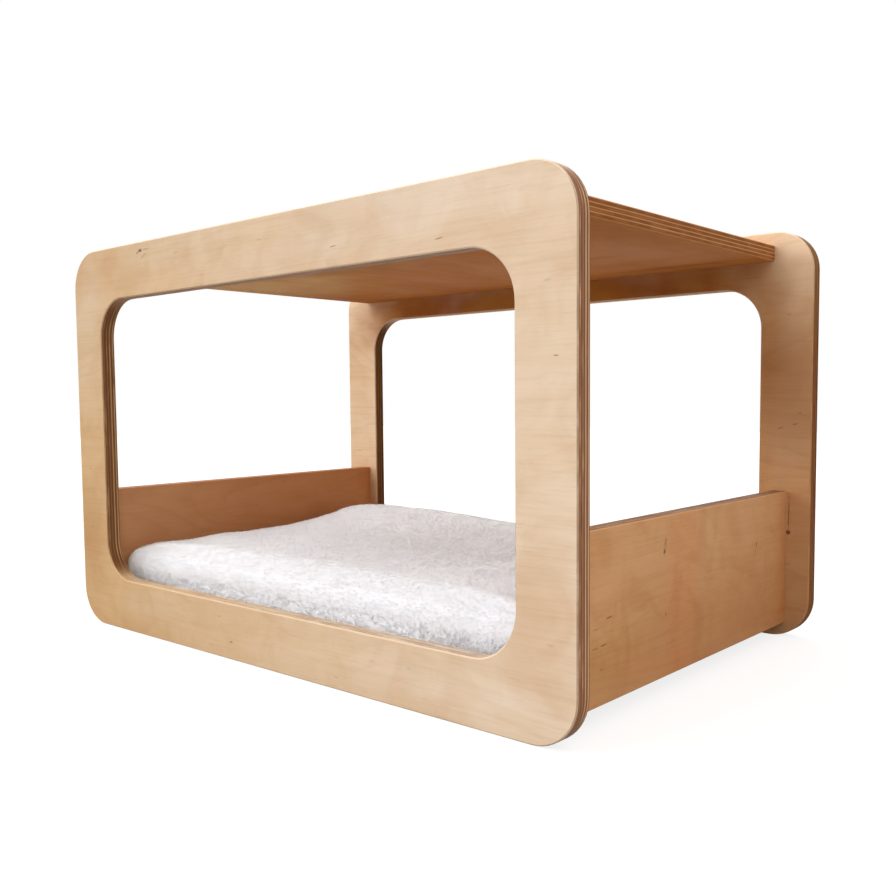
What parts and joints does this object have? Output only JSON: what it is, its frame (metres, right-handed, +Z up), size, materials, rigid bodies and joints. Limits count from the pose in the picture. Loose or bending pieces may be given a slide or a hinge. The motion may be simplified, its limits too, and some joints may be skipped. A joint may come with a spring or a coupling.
{
  "type": "cat wall shelf",
  "caption": "Wall-hung cat shelf of plywood window frames joined by a roof, a floor and low side panels, with a loose plush cushion inside.",
  "frame": {"origin": "middle of the footprint, on the plane of the two frames' bottom edges", "axes": "+X along the shelf's width, +Y from the front frame to the wall side, +Z up"},
  "size_m": [0.5, 0.33, 0.31],
  "materials": {
    "birch_plywood": "clear matt",
    "beech_dowel": "raw",
    "zinc_plated_steel": "zinc plated",
    "white_plush": "short pile",
    "base_cloth": "plain weave",
    "wadding": "loose fibre"
  },
  "bodies": {
    "shelf": {"front_frame": "birch_plywood", "rear_frame": "birch_plywood", "roof_panel": "birch_plywood", "floor_panel": "birch_plywood", "left_side_panel": "birch_plywood", "right_side_panel": "birch_plywood", "roof_front_dowels": "beech_dowel", "floor_front_dowels": "beech_dowel", "left_side_front_dowels": "beech_dowel", "right_side_front_dowels": "beech_dowel", "left_floor_dowels": "beech_dowel", "right_floor_dowels": "beech_dowel", "roof_rear_screws": "zinc_plated_steel", "floor_rear_screws": "zinc_plated_steel", "left_side_rear_screws": "zinc_plated_steel", "right_side_rear_screws": "zinc_plated_steel", "left_hanging_plate": "zinc_plated_steel", "right_hanging_plate": "zinc_plated_steel", "left_plate_screws": "zinc_plated_steel", "right_plate_screws": "zinc_plated_steel"},
    "cushion": {"cushion_plush_top": "white_plush", "cushion_base_cloth": "base_cloth", "cushion_wadding": "wadding"}
  },
  "joints": [
    {"name": "cushion_lift", "type": "slide", "parent": "shelf", "child": "cushion", "axis": [0, 0, 1], "range_m": [0, 0.2]}
  ]
}
